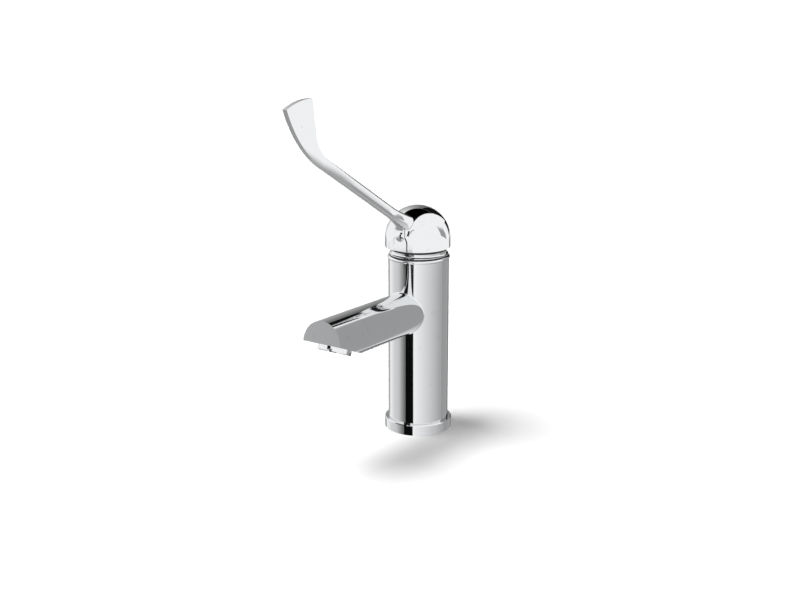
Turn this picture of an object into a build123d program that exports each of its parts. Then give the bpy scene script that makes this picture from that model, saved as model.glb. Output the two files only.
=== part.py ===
from build123d import *
import os
from math import asin, cos, hypot, radians, sin, tan

os.makedirs("parts", exist_ok=True)

# Elbow lever basin tap. Millimetres, +Z up, the spout points along -Y and the
# origin is the centre of the underside, where the tap stands on the basin.

# General clearances and edge sizes
overrun = 1.0
sliding_gap = 0.3
locating_gap = 0.15
thread_gap = 0.1
pin_gap = 0.06

# Foot ring and its seal
foot_d = 51.5
foot_h = 8.0
foot_floor = 3.0
foot_edge = 0.5
spigot_d = 36.0
spigot_recess = 0.5
base_seal_inset = 2.25
base_seal_w = 3.0
base_seal_h = 1.6

# Body casting
body_d = 46.0
rim_z = 137.0
bead_d = 47.2
bead_h = 2.6
rim_round = 1.3
core_wall = 3.2
core_floor_z = 24.0
seat_z = 106.0
seat_floor = 5.0
thread_depth = 6.0

# Supply and fixing holes in the underside
inlet_spacing = 14.0
inlet_y = -4.0
inlet_thread_d = 10.0
inlet_thread_depth = 12.0
riser_d = 7.0
riser_wall = 2.2
stud_y = 9.5
stud_d = 8.0
stud_depth = 16.0
outlet_y = 8.0
outlet_d = 8.4

# Spout
spout_d = 32.0
spout_z = 94.8
spout_rise = 1.2
spout_reach = 120.8
spout_lean = 5.4
spout_wall = 3.0
spout_fillet = 0.8
channel_d = 16.0
outlet_angle = 21.3
outlet_floor = 11.0

# Aerator
aerator_setback = 17.0
aerator_thread_d = 22.0
aerator_bore_depth = 9.0
throat_d = 17.0
collar_d = 23.6
collar_h = 3.8
collar_edge = 0.5
notch_w = 3.6
notch_l = 5.2
notch_h = 2.2
notch_count = 4
notch_turn = 73.0
housing_wall = 1.3
housing_lip = 1.0
washer_h = 1.6
jet_count = 12
jet_d = 1.8
jet_inner_count = 6
screen_h = 0.6
screen_bar = 0.7
screen_pitch = 2.4
screen_rim = 1.0

# Ceramic cartridge
cartridge_d = 35.0
chamber_gap = 0.3
base_flange_h = 3.0
base_plug_h = 4.0
housing_side = 2.1
disc_h = 4.0
fixed_disc_d = 29.6
moving_disc_d = 23.2
port_d = 5.6
outlet_port_d = 7.6
seal_w = 1.4
seal_h = 1.4
seal_lip = 0.3
pocket_w = 12.0
pocket_depth = 2.0
carrier_plate_h = 2.0
carrier_block_w = 13.0
carrier_block_l = 15.0
carrier_block_h = 4.0
guide_d = 30.2
neck_d = 21.6
collar_ring_wall = 2.0
shoulder_h = 3.0
shoulder_z = 132.0
neck_collar_top = 143.0
limiter_h = 2.4
limiter_wall = 1.7
limiter_tooth = 0.8
limiter_tooth_count = 24

# Lever stem, its pin and its travel
pivot_z = 133.0
pin_d = 3.0
stem_w = 7.6
stem_top_z = 161.0
stem_foot = 3.8
ball_d = 5.2
ball_z = 124.4
arm_d = 3.6
lever_travel = 20.0

# Retaining nut, cover ring and the two black seals above and below it
nut_hex = 32.0
nut_hex_h = 4.0
nut_ledge = 1.0
cover_step = 1.1
cover_shoulder_h = 2.0
cover_land_h = 0.6
cover_wall = 1.45
cover_top = 1.9
cover_z = 143.2
rim_seal_h = 0.8
rim_seal_inset = 0.2
cap_seal_h = 2.0
cap_seal_w = 0.9

# Cap of the handle
cap_d = 49.4
cap_wall = 1.4
cap_shift = 1.5
cap_bottom_z = 143.9
dome_z = 150.0
flat_y = 25.4
flat_round = 3.6
boss_w = 12.4
boss_edge = 1.0
boss_round = 2.0
boss_top_z = 161.0
web_z = 159.6
web_w = 6.0
socket_d = 20.0
insert_d = 16.0
insert_bottom_z = 149.0
insert_top_z = 163.0
tunnel_d = 11.0
screw_z = 155.2
screw_d = 6.0
screw_l = 8.0
screw_hex = 3.0
screw_socket = 3.0
plug_d = 8.0
plug_h = 4.0
plug_crown = 1.1

# Elbow lever, seen from the side: its root's underside meets the cap's flat,
# and the places of its paddle are counted forward and up from the arm's bend
lever_slope = 30.9
lever_h = 8.0
lever_root_z = 163.5
bend_reach = 113.0
under_run = 5.0
bend_mid_run = 6.9
bend_mid_rise = 6.0
bend_end_run = 11.2
bend_end_rise = 14.3
heel_run = 14.9
heel_rise = 41.5
crown_run = 29.0
crown_rise = 40.7
tip_run = 41.6
tip_rise = 36.8
arm_thick = 6.6
arm_round = 2.6
paddle_thick = 3.6
paddle_edge = 0.5
taper_l = 34.0
flare_start_reach = 36.0
flare_end_reach = 18.5
flare_w = 16.4
flare_h = 11.5
flare_round_share = 0.45
# Shares of the way along the taper and the flare, each with the share of the
# change in size that is reached there
taper_shares = ((0.0, 0.0), (0.33, 0.26), (0.67, 0.74), (1.0, 1.0))
flare_shares = ((0.0, 0.0), (0.5, 0.25), (1.0, 1.0))

# Radii and heights worked out from the sizes above
body_r = body_d / 2
foot_r = foot_d / 2
base_seal_r = foot_r - base_seal_inset
spigot_r = spigot_d / 2
core_r = body_r - core_wall
cartridge_r = cartridge_d / 2
rim_land_r = bead_d / 2 - rim_round
chamber_r = cartridge_r + chamber_gap
nut_thread_r = chamber_r + nut_ledge
thread_r = nut_thread_r + thread_gap
inlet_x = inlet_spacing / 2
base_top_z = seat_z + base_flange_h + base_plug_h
fixed_top_z = base_top_z + disc_h
moving_top_z = fixed_top_z + disc_h
plate_top_z = moving_top_z + carrier_plate_h
block_top_z = plate_top_z + carrier_block_h
guide_bottom_z = plate_top_z + sliding_gap
guide_top_z = shoulder_z - shoulder_h
neck_r = neck_d / 2
collar_bore_r = neck_r + 2 * locating_gap
neck_collar_r = collar_bore_r + collar_ring_wall
cover_hole_r = neck_collar_r + 2 * sliding_gap
neck_top_z = neck_collar_top + limiter_h
housing_bore_r = cartridge_r - housing_side
cover_r = rim_land_r - cover_step
cover_bore_r = cover_r - cover_wall
cover_foot_z = rim_z + rim_seal_h
cap_seal_r = cover_r - cap_seal_w
cap_r = cap_d / 2
cap_inner_r = cap_r - cap_wall
spout_r = spout_d / 2
cavity_r = spout_r - spout_wall
aerator_r = aerator_thread_d / 2
aerator_shell_r = aerator_r - thread_gap
aerator_inner_r = aerator_shell_r - housing_wall
stem_reach = stem_top_z - pivot_z

# Directions of the spout: forward along its axis, and square to its outlet
rise = radians(spout_rise)
cut = radians(outlet_angle)
spout_forward = Vector(0, -cos(rise), sin(rise))
spout_up = Vector(0, sin(rise), cos(rise))
outlet_out = spout_forward * sin(cut) - spout_up * cos(cut)
spout_plane = Plane(origin=(0, 0, spout_z), x_dir=(1, 0, 0), z_dir=spout_forward)
spout_side = Plane(origin=(0, 0, spout_z), x_dir=spout_forward, z_dir=(-1, 0, 0))
outlet_tip = Vector(0, 0, spout_z) + spout_forward * spout_reach
outlet_centre = (
    outlet_tip
    - spout_forward * (aerator_setback * cos(cut))
    - spout_up * (aerator_setback * sin(cut))
)
outlet_plane = Plane(origin=outlet_centre, x_dir=(1, 0, 0), z_dir=outlet_out)
side_plane = Plane(origin=(0, 0, 0), x_dir=(0, -1, 0), z_dir=(-1, 0, 0))
inlet_places = [(-inlet_x, inlet_y), (inlet_x, inlet_y)]

# Space inside the spout, above the thick floor that carries the aerator
cavity_start = chamber_r + spout_wall
cavity_end = spout_reach - spout_wall - cavity_r * tan(radians(spout_lean))
floor_rise = outlet_floor / cos(cut)
floor_end_v = floor_rise - (spout_reach - cavity_end) * tan(cut)
floor_start = spout_reach - (cavity_r + floor_rise) / tan(cut)
with BuildPart() as spout_cavity:
    with BuildSketch(spout_plane.offset(cavity_start)):
        Circle(cavity_r)
    extrude(amount=spout_reach)
    with BuildSketch(spout_side):
        with BuildLine():
            Polyline(
                (0, -spout_r),
                (floor_start - spout_wall / tan(cut), -spout_r),
                (cavity_end, floor_end_v),
                (cavity_end, spout_r),
                (0, spout_r),
                close=True,
            )
        make_face()
    extrude(amount=spout_r, both=True, mode=Mode.INTERSECT)

# Outside of the spout: a round tube, cut slanting under its end
with BuildPart() as spout_form:
    with BuildSketch(spout_plane):
        Circle(spout_r)
    extrude(amount=spout_reach + spout_r)
    with BuildSketch(spout_side):
        with BuildLine():
            Polyline(
                (0, -spout_d),
                (spout_reach - spout_d / tan(cut), -spout_d),
                (spout_reach, 0),
                (spout_reach - spout_d * tan(radians(spout_lean)), spout_d),
                (0, spout_d),
                close=True,
            )
        make_face()
    extrude(amount=spout_r, both=True, mode=Mode.INTERSECT)

with BuildPart() as body_casting:
    with BuildSketch(Plane.XZ):
        with BuildLine():
            Polyline(
                (rim_land_r, rim_z),
                (0, rim_z),
                (0, spigot_recess),
                (spigot_r - locating_gap, spigot_recess),
                (spigot_r - locating_gap, foot_floor),
                (body_r, foot_floor),
                (body_r, rim_z - bead_h),
            )
            ThreePointArc(
                (body_r, rim_z - bead_h),
                (bead_d / 2, rim_z - bead_h / 2),
                (rim_land_r, rim_z),
            )
        make_face()
    revolve(axis=Axis.Z)
    add(spout_form.part)
    fillet(body_casting.edges(Select.NEW), radius=spout_fillet)
    # cartridge chamber and the thread of its nut
    with BuildSketch(Plane.XY.offset(seat_z)):
        Circle(chamber_r)
    extrude(amount=rim_z - seat_z + overrun, mode=Mode.SUBTRACT)
    with BuildSketch(Plane.XY.offset(rim_z - thread_depth)):
        Circle(thread_r)
    extrude(amount=thread_depth + overrun, mode=Mode.SUBTRACT)
    # mixed water chamber around the two risers
    with BuildSketch(Plane.XY.offset(core_floor_z)):
        Circle(core_r)
        with Locations(*inlet_places):
            Circle(riser_d / 2 + riser_wall, mode=Mode.SUBTRACT)
    extrude(amount=seat_z - seat_floor - core_floor_z, mode=Mode.SUBTRACT)
    with BuildSketch(Plane.XY.offset(spigot_recess)):
        with Locations(*inlet_places):
            Circle(riser_d / 2)
    extrude(amount=seat_z, mode=Mode.SUBTRACT)
    with BuildSketch(Plane.XY.offset(spigot_recess)):
        with Locations(*inlet_places):
            Circle(inlet_thread_d / 2)
    extrude(amount=inlet_thread_depth, mode=Mode.SUBTRACT)
    with BuildSketch(Plane.XY.offset(spigot_recess)):
        with Locations((0, stud_y)):
            Circle(stud_d / 2)
    extrude(amount=stud_depth, mode=Mode.SUBTRACT)
    with BuildSketch(Plane.XY.offset(seat_z)):
        with Locations((0, outlet_y)):
            Circle(outlet_d / 2)
    extrude(amount=-2 * seat_floor, mode=Mode.SUBTRACT)
    # waterway of the spout and the threaded seat of its aerator
    with BuildSketch(spout_plane.offset(core_r / 2)):
        Circle(channel_d / 2)
    extrude(amount=cavity_start + overrun - core_r / 2, mode=Mode.SUBTRACT)
    add(spout_cavity.part, mode=Mode.SUBTRACT)
    with BuildSketch(outlet_plane.offset(overrun)):
        Circle(aerator_r)
    extrude(amount=-aerator_bore_depth - overrun, mode=Mode.SUBTRACT)
    with BuildSketch(outlet_plane):
        Circle(throat_d / 2)
    extrude(amount=-outlet_floor - overrun, mode=Mode.SUBTRACT)
body_casting.part.label = "body_casting"
export_step(body_casting.part, "parts/body_casting.step")

with BuildPart() as base_ring:
    with BuildSketch(Plane.XZ):
        with BuildLine():
            Polyline(
                (spigot_r, 0),
                (foot_r, 0),
                (foot_r, foot_h - foot_edge),
                (foot_r - foot_edge, foot_h),
                (body_r + locating_gap, foot_h),
                (body_r + locating_gap, foot_floor),
                (spigot_r, foot_floor),
                close=True,
            )
        make_face()
    revolve(axis=Axis.Z)
    with BuildSketch(Plane.XY):
        Circle(base_seal_r)
        Circle(base_seal_r - base_seal_w, mode=Mode.SUBTRACT)
    extrude(amount=base_seal_h, mode=Mode.SUBTRACT)
base_ring.part.label = "base_ring"
export_step(base_ring.part, "parts/base_ring.step")

with BuildPart() as base_seal:
    with BuildSketch(Plane.XY):
        Circle(base_seal_r)
        Circle(base_seal_r - base_seal_w, mode=Mode.SUBTRACT)
    extrude(amount=base_seal_h)
base_seal.part.label = "base_seal"
export_step(base_seal.part, "parts/base_seal.step")


def port_rings(level, amount, mode):
    """Rings around the three ports of the cartridge, from a level."""
    with BuildSketch(Plane.XY.offset(level)) as rings:
        with Locations(*inlet_places):
            Circle(port_d / 2 + seal_lip + seal_w)
            Circle(port_d / 2 + seal_lip, mode=Mode.SUBTRACT)
        with Locations((0, outlet_y)):
            Circle(outlet_port_d / 2 + seal_lip + seal_w)
            Circle(outlet_port_d / 2 + seal_lip, mode=Mode.SUBTRACT)
    extrude(rings.sketch, amount=amount, mode=mode)


def port_holes(level, amount):
    """Through holes of the three ports, from a level."""
    with BuildSketch(Plane.XY.offset(level)) as holes:
        with Locations(*inlet_places):
            Circle(port_d / 2)
        with Locations((0, outlet_y)):
            Circle(outlet_port_d / 2)
    extrude(holes.sketch, amount=amount, mode=Mode.SUBTRACT)


with BuildPart() as seat_seals:
    port_rings(seat_z, seal_h, Mode.ADD)
seat_seals.part.label = "seat_seals"
export_step(seat_seals.part, "parts/seat_seals.step")

with BuildPart() as cartridge_base:
    with BuildSketch(Plane.XY.offset(seat_z)):
        Circle(cartridge_r)
    extrude(amount=base_flange_h)
    with BuildSketch(Plane.XY.offset(seat_z + base_flange_h)):
        Circle(housing_bore_r - locating_gap)
    extrude(amount=base_plug_h)
    port_holes(seat_z, base_top_z - seat_z)
    port_rings(seat_z, seal_h, Mode.SUBTRACT)
    port_rings(base_top_z, -seal_h, Mode.SUBTRACT)
cartridge_base.part.label = "cartridge_base"
export_step(cartridge_base.part, "parts/cartridge_base.step")

with BuildPart() as disc_seals:
    port_rings(base_top_z, -seal_h, Mode.ADD)
disc_seals.part.label = "disc_seals"
export_step(disc_seals.part, "parts/disc_seals.step")

with BuildPart() as fixed_disc:
    with BuildSketch(Plane.XY.offset(base_top_z)):
        Circle(fixed_disc_d / 2)
    extrude(amount=disc_h)
    port_holes(base_top_z, disc_h)
fixed_disc.part.label = "fixed_disc"
export_step(fixed_disc.part, "parts/fixed_disc.step")

# The pocket joins the outlet to the inlets once the disc has slid forward
pocket_front_y = inlet_y + port_d / 2 + sliding_gap
pocket_back_y = moving_disc_d / 2 - overrun
with BuildPart() as moving_disc:
    with BuildSketch(Plane.XY.offset(fixed_top_z)):
        Circle(moving_disc_d / 2)
    extrude(amount=disc_h)
    with BuildSketch(Plane.XY.offset(fixed_top_z)):
        with Locations((0, (pocket_front_y + pocket_back_y) / 2)):
            RectangleRounded(pocket_w, pocket_back_y - pocket_front_y, pocket_w / 4)
    extrude(amount=pocket_depth, mode=Mode.SUBTRACT)
moving_disc.part.label = "moving_disc"
export_step(moving_disc.part, "parts/moving_disc.step")

ball_hole_r = ball_d / 2 + sliding_gap
with BuildPart() as disc_carrier:
    with BuildSketch(Plane.XY.offset(moving_top_z)):
        Circle(moving_disc_d / 2)
    extrude(amount=carrier_plate_h)
    with BuildSketch(Plane.XY.offset(plate_top_z)):
        Rectangle(carrier_block_w, carrier_block_l)
    extrude(amount=carrier_block_h)
    with BuildSketch(Plane.XY.offset(block_top_z)):
        Circle(ball_hole_r)
    extrude(amount=ball_z - ball_hole_r - block_top_z, mode=Mode.SUBTRACT)
disc_carrier.part.label = "disc_carrier"
export_step(disc_carrier.part, "parts/disc_carrier.step")

# Room that the stem sweeps inside the guide as it tilts
tilt = radians(lever_travel)
stem_half = stem_w / 2
sweep_back = (stem_half + (neck_top_z - pivot_z) * sin(tilt)) / cos(tilt) + sliding_gap
sweep_front = hypot(stem_half, stem_foot) + sliding_gap
with BuildPart() as rotating_guide:
    with BuildSketch(Plane.XY.offset(guide_bottom_z)):
        Circle(guide_d / 2)
    extrude(amount=guide_top_z - guide_bottom_z)
    with BuildSketch(Plane.XY.offset(guide_top_z)):
        Circle(neck_r)
    extrude(amount=neck_top_z - guide_top_z)
    with BuildSketch(Plane.XY.offset(guide_bottom_z)):
        Rectangle(carrier_block_w + 2 * locating_gap, guide_d)
    extrude(amount=block_top_z + sliding_gap - guide_bottom_z, mode=Mode.SUBTRACT)
    with BuildSketch(Plane.XY.offset(guide_bottom_z)):
        with Locations((0, (sweep_back - sweep_front) / 2)):
            Rectangle(stem_w + 2 * sliding_gap, sweep_back + sweep_front)
    extrude(amount=neck_top_z - guide_bottom_z, mode=Mode.SUBTRACT)
    with BuildSketch(Plane.YZ):
        with Locations((0, pivot_z)):
            Circle(pin_d / 2)
    extrude(amount=neck_r, both=True, mode=Mode.SUBTRACT)
rotating_guide.part.label = "rotating_guide"
export_step(rotating_guide.part, "parts/rotating_guide.step")

with BuildPart() as pivot_pin:
    with BuildSketch(Plane.YZ):
        with Locations((0, pivot_z)):
            Circle(pin_d / 2)
    extrude(amount=neck_r - sliding_gap, both=True)
pivot_pin.part.label = "pivot_pin"
export_step(pivot_pin.part, "parts/pivot_pin.step")

with BuildPart() as lever_stem:
    with Locations((0, 0, ball_z)):
        Sphere(ball_d / 2)
    with BuildSketch(Plane.XY.offset(ball_z)):
        Circle(arm_d / 2)
    extrude(amount=pivot_z - ball_z)
    with BuildSketch(Plane.XY.offset(pivot_z - stem_foot)):
        Rectangle(stem_w, stem_w)
    extrude(amount=stem_reach + stem_foot)
    with BuildSketch(Plane.YZ):
        with Locations((0, pivot_z)):
            Circle(pin_d / 2 + pin_gap)
    extrude(amount=stem_w, both=True, mode=Mode.SUBTRACT)
lever_stem.part.label = "lever_stem"
export_step(lever_stem.part, "parts/lever_stem.step")

with BuildPart() as cartridge_housing:
    with BuildSketch(Plane.XY.offset(seat_z + base_flange_h)):
        Circle(cartridge_r)
    extrude(amount=shoulder_z - seat_z - base_flange_h)
    with BuildSketch(Plane.XY.offset(shoulder_z)):
        Circle(neck_collar_r)
    extrude(amount=neck_collar_top - shoulder_z)
    with BuildSketch(Plane.XY.offset(seat_z + base_flange_h)):
        Circle(housing_bore_r)
    extrude(amount=guide_top_z - seat_z - base_flange_h, mode=Mode.SUBTRACT)
    with BuildSketch(Plane.XY.offset(seat_z)):
        Circle(collar_bore_r)
    extrude(amount=neck_collar_top - seat_z, mode=Mode.SUBTRACT)
cartridge_housing.part.label = "cartridge_housing"
export_step(cartridge_housing.part, "parts/cartridge_housing.step")

limiter_r = neck_r + limiter_wall
with BuildPart() as limiter_ring:
    with BuildSketch(Plane.XY.offset(neck_collar_top)):
        Circle(limiter_r)
        with PolarLocations(limiter_r, limiter_tooth_count):
            Rectangle(limiter_tooth, limiter_tooth, mode=Mode.SUBTRACT)
        Circle(neck_r, mode=Mode.SUBTRACT)
    extrude(amount=limiter_h)
limiter_ring.part.label = "limiter_ring"
export_step(limiter_ring.part, "parts/limiter_ring.step")

with BuildPart() as retaining_nut:
    with BuildSketch(Plane.XY.offset(shoulder_z)):
        Circle(nut_thread_r)
    extrude(amount=rim_z - shoulder_z)
    with BuildSketch(Plane.XY.offset(rim_z)):
        RegularPolygon(nut_hex / 2, 6, major_radius=False)
    extrude(amount=nut_hex_h)
    with BuildSketch(Plane.XY.offset(shoulder_z)):
        Circle(neck_collar_r + 2 * locating_gap)
    extrude(amount=rim_z + nut_hex_h - shoulder_z, mode=Mode.SUBTRACT)
retaining_nut.part.label = "retaining_nut"
export_step(retaining_nut.part, "parts/retaining_nut.step")

with BuildPart() as rim_seal:
    with BuildSketch(Plane.XY.offset(rim_z)):
        Circle(rim_land_r - rim_seal_inset)
        Circle(cover_bore_r, mode=Mode.SUBTRACT)
    extrude(amount=rim_seal_h)
rim_seal.part.label = "rim_seal"
export_step(rim_seal.part, "parts/rim_seal.step")

with BuildPart() as cover_ring:
    with BuildSketch(Plane.XZ):
        with BuildLine():
            Polyline(
                (cover_r, cover_foot_z + cover_shoulder_h),
                (cover_r, cover_z - cap_seal_h),
                (cap_seal_r, cover_z - cap_seal_h),
                (cap_seal_r, cover_z),
                (cover_hole_r, cover_z),
                (cover_hole_r, cover_z - cover_top),
                (cover_bore_r, cover_z - cover_top),
                (cover_bore_r, cover_foot_z),
                (rim_land_r, cover_foot_z),
                (rim_land_r, cover_foot_z + cover_land_h),
            )
            RadiusArc(
                (rim_land_r, cover_foot_z + cover_land_h),
                (cover_r, cover_foot_z + cover_shoulder_h),
                cover_shoulder_h,
            )
        make_face()
    revolve(axis=Axis.Z)
cover_ring.part.label = "cover_ring"
export_step(cover_ring.part, "parts/cover_ring.step")

with BuildPart() as cap_seal:
    with BuildSketch(Plane.XY.offset(cover_z - cap_seal_h)):
        Circle(cover_r)
        Circle(cap_seal_r, mode=Mode.SUBTRACT)
    extrude(amount=cap_seal_h)
cap_seal.part.label = "cap_seal"
export_step(cap_seal.part, "parts/cap_seal.step")


# Lever handle: the cap is a dome on a short skirt, and the lever grows out of
# a flat boss on its front
slope = radians(lever_slope)
lever_rise = lever_h / cos(slope)


def under_z(reach):
    """Height of the straight lever's underside at a reach."""
    return lever_root_z + (reach - flat_y) * tan(slope)


def top_z(reach):
    """Height of the straight lever's top at a reach."""
    return under_z(reach) + lever_rise


def lever_section(distance):
    """Plane square to the straight lever, a distance short of its bend."""
    along = Vector(0, -cos(slope), sin(slope))
    square = Vector(0, sin(slope), cos(slope))
    start = Vector(0, -bend_reach, top_z(bend_reach)) - square * (lever_h / 2)
    return Plane(origin=start - along * distance, x_dir=(1, 0, 0), z_dir=along)


def paddle_point(run, rise):
    """Reach and height of a point counted from the arm's bend."""
    return (bend_reach + run, top_z(bend_reach) + rise)


def size_at(share, start, end):
    """Size at a share of the change from a first size to a last one."""
    return start + (end - start) * share


root_reach = cap_shift + cap_inner_r / 2
cap_axis = Axis((0, -cap_shift, 0), (0, 0, 1))
cap_plane = Plane.XZ.offset(cap_shift)


def dome(radius, bottom):
    """Dome on a short skirt, about the cap's own axis."""
    with BuildSketch(cap_plane) as half:
        with BuildLine():
            Polyline((0, dome_z + radius), (0, bottom), (radius, bottom), (radius, dome_z))
            ThreePointArc(
                (radius, dome_z),
                (radius * cos(radians(45)), dome_z + radius * sin(radians(45))),
                (0, dome_z + radius),
            )
        make_face()
    revolve(half.sketch, axis=cap_axis)


# Hollow of the cap, around the socket for the stem's insert and around the
# tunnel of its grub screw
with BuildPart() as cap_hollow:
    dome(cap_inner_r, cap_bottom_z - overrun)
    with BuildSketch(Plane.XY.offset(insert_bottom_z)):
        Circle(socket_d / 2)
    extrude(amount=cap_r, mode=Mode.SUBTRACT)
    with BuildSketch(Plane.XZ.offset(socket_d / 4)):
        with Locations((0, screw_z)):
            Circle(tunnel_d / 2)
    extrude(amount=cap_r, mode=Mode.SUBTRACT)

# The paddle is a plate seen from the side, the arm a rounded bar that thins
# into it and flares where it joins the cap
corner_rise = under_z(flat_y) - web_z
web_end_reach = flat_y + corner_rise * cos(slope)
root_length = (bend_reach - root_reach) / cos(slope)
flare_start = (bend_reach - flare_start_reach) / cos(slope)
flare_end = (bend_reach - flare_end_reach) / cos(slope)
bend_top = paddle_point(0, 0)
bend_under = paddle_point(lever_h * sin(slope), -lever_h * cos(slope))
under_end = (bend_reach + under_run, under_z(bend_reach + under_run))
bend_end = paddle_point(bend_end_run, bend_end_rise)
heel = paddle_point(heel_run, heel_rise)
tip = paddle_point(tip_run, tip_rise)
with BuildPart() as lever_bar:
    with BuildSketch(side_plane):
        with BuildLine():
            Polyline(bend_end, heel)
            ThreePointArc(heel, paddle_point(crown_run, crown_rise), tip)
            TangentArc(under_end, tip, tangent=(cos(slope), sin(slope)))
            Polyline(under_end, bend_under, bend_top)
            ThreePointArc(bend_top, paddle_point(bend_mid_run, bend_mid_rise), bend_end)
        make_face()
    extrude(amount=paddle_thick / 2, both=True)
    for way, share in taper_shares:
        with BuildSketch(lever_section(taper_l * way)):
            RectangleRounded(
                size_at(share, paddle_thick, arm_thick),
                lever_h,
                size_at(share, paddle_edge, arm_round),
            )
    loft()
    with BuildSketch(lever_section(taper_l)):
        RectangleRounded(arm_thick, lever_h, arm_round)
    extrude(amount=taper_l - root_length)
    for way, share in flare_shares:
        with BuildSketch(lever_section(size_at(way, flare_start, flare_end))):
            RectangleRounded(
                size_at(share, arm_thick, flare_w),
                size_at(share, lever_h, flare_h),
                size_at(share, arm_round, flare_h * flare_round_share),
            )
    loft()
    # web under the arm's root
    with BuildSketch(side_plane):
        with BuildLine():
            Polyline(
                (flat_y, web_z),
                (root_reach, web_z),
                (root_reach, under_z(root_reach) + lever_rise / 2),
                (web_end_reach, under_z(web_end_reach) + lever_rise / 2),
                (web_end_reach, under_z(web_end_reach)),
            )
            TangentArc((flat_y, web_z), (web_end_reach, under_z(web_end_reach)), tangent=(0, 1))
        make_face()
    extrude(amount=web_w / 2, both=True)

# Front boss that carries the index plug, under the lever's root
with BuildPart() as front_boss:
    with BuildSketch(Plane.XY.offset(cap_bottom_z)):
        with Locations((0, -(root_reach + flat_y) / 2)):
            Rectangle(boss_w, flat_y - root_reach)
    extrude(amount=boss_top_z - cap_bottom_z)
    fillet(front_boss.faces().sort_by(Axis.Y)[0].edges().filter_by(Axis.Z), radius=boss_round)
    fillet(front_boss.faces().sort_by(Axis.Z)[-1].edges(), radius=boss_edge)

with BuildPart() as lever_handle:
    dome(cap_r, cap_bottom_z)
    split(bisect_by=Plane(origin=(0, -flat_y, 0), z_dir=(0, -1, 0)), keep=Keep.BOTTOM)
    fillet(
        lever_handle.faces().sort_by(Axis.Y)[0].edges().filter_by(Axis.X, reverse=True),
        radius=flat_round,
    )
    add(front_boss.part)
    add(lever_bar.part)
    add(cap_hollow.part, mode=Mode.SUBTRACT)
    with BuildSketch(Plane.XY.offset(insert_bottom_z)):
        Circle(insert_d / 2)
    extrude(amount=insert_top_z - insert_bottom_z, mode=Mode.SUBTRACT)
    with BuildSketch(Plane.XZ):
        with Locations((0, screw_z)):
            Circle(screw_d / 2)
    extrude(amount=flat_y, mode=Mode.SUBTRACT)
    with BuildSketch(Plane.XZ.offset(flat_y - plug_h)):
        with Locations((0, screw_z)):
            Circle(plug_d / 2)
    extrude(amount=plug_h + overrun, mode=Mode.SUBTRACT)
lever_handle.part.label = "lever_handle"
export_step(lever_handle.part, "parts/lever_handle.step")

with BuildPart() as handle_insert:
    with BuildSketch(Plane.XY.offset(insert_bottom_z)):
        Circle(insert_d / 2)
    extrude(amount=insert_top_z - insert_bottom_z)
    with BuildSketch(Plane.XY.offset(insert_bottom_z)):
        Rectangle(stem_w, stem_w)
    extrude(amount=stem_top_z - insert_bottom_z, mode=Mode.SUBTRACT)
    with BuildSketch(Plane.XZ):
        with Locations((0, screw_z)):
            Circle(screw_d / 2)
    extrude(amount=insert_d, mode=Mode.SUBTRACT)
handle_insert.part.label = "handle_insert"
export_step(handle_insert.part, "parts/handle_insert.step")

with BuildPart() as grub_screw:
    with BuildSketch(Plane.XZ.offset(stem_half)):
        with Locations((0, screw_z)):
            Circle(screw_d / 2)
    extrude(amount=screw_l)
    with BuildSketch(Plane.XZ.offset(stem_half + screw_l)):
        with Locations((0, screw_z)):
            RegularPolygon(screw_hex / 2, 6, major_radius=False)
    extrude(amount=-screw_socket, mode=Mode.SUBTRACT)
grub_screw.part.label = "grub_screw"
export_step(grub_screw.part, "parts/grub_screw.step")

crown_r = ((plug_d / 2) ** 2 + plug_crown ** 2) / (2 * plug_crown)
crown_half = asin(plug_d / 2 / crown_r) / 2
with BuildPart() as index_plug:
    with BuildSketch(side_plane):
        with BuildLine():
            Polyline(
                (flat_y + plug_crown, screw_z),
                (flat_y - plug_h, screw_z),
                (flat_y - plug_h, screw_z + plug_d / 2),
                (flat_y, screw_z + plug_d / 2),
            )
            ThreePointArc(
                (flat_y, screw_z + plug_d / 2),
                (
                    flat_y + plug_crown - crown_r * (1 - cos(crown_half)),
                    screw_z + crown_r * sin(crown_half),
                ),
                (flat_y + plug_crown, screw_z),
            )
        make_face()
    revolve(axis=Axis((0, 0, screw_z), (0, -1, 0)))
index_plug.part.label = "index_plug"
export_step(index_plug.part, "parts/index_plug.step")

# Aerator, built up from its washer at the bottom of the threaded seat
washer_level = -aerator_bore_depth
shell_level = washer_level + washer_h
with BuildPart() as aerator_housing:
    with BuildSketch(outlet_plane.offset(shell_level)):
        Circle(aerator_shell_r)
    extrude(amount=-shell_level)
    with BuildSketch(outlet_plane):
        Circle(collar_d / 2)
    extrude(amount=collar_h)
    chamfer(
        aerator_housing.faces().sort_by(Axis(outlet_centre, outlet_out))[-1].edges(),
        length=collar_edge,
    )
    with BuildSketch(outlet_plane.offset(shell_level)):
        Circle(aerator_inner_r)
    extrude(amount=collar_h - housing_lip - shell_level, mode=Mode.SUBTRACT)
    with BuildSketch(outlet_plane):
        Circle(aerator_inner_r - housing_lip)
    extrude(amount=collar_h, mode=Mode.SUBTRACT)
    with BuildSketch(outlet_plane.offset(collar_h)):
        with PolarLocations(collar_d / 2, notch_count, start_angle=notch_turn):
            Rectangle(notch_l, notch_w)
    extrude(amount=-notch_h, mode=Mode.SUBTRACT)
aerator_housing.part.label = "aerator_housing"
export_step(aerator_housing.part, "parts/aerator_housing.step")

with BuildPart() as aerator_washer:
    with BuildSketch(outlet_plane.offset(washer_level)):
        Circle(aerator_shell_r)
        Circle(throat_d / 2, mode=Mode.SUBTRACT)
    extrude(amount=washer_h)
aerator_washer.part.label = "aerator_washer"
export_step(aerator_washer.part, "parts/aerator_washer.step")

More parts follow.
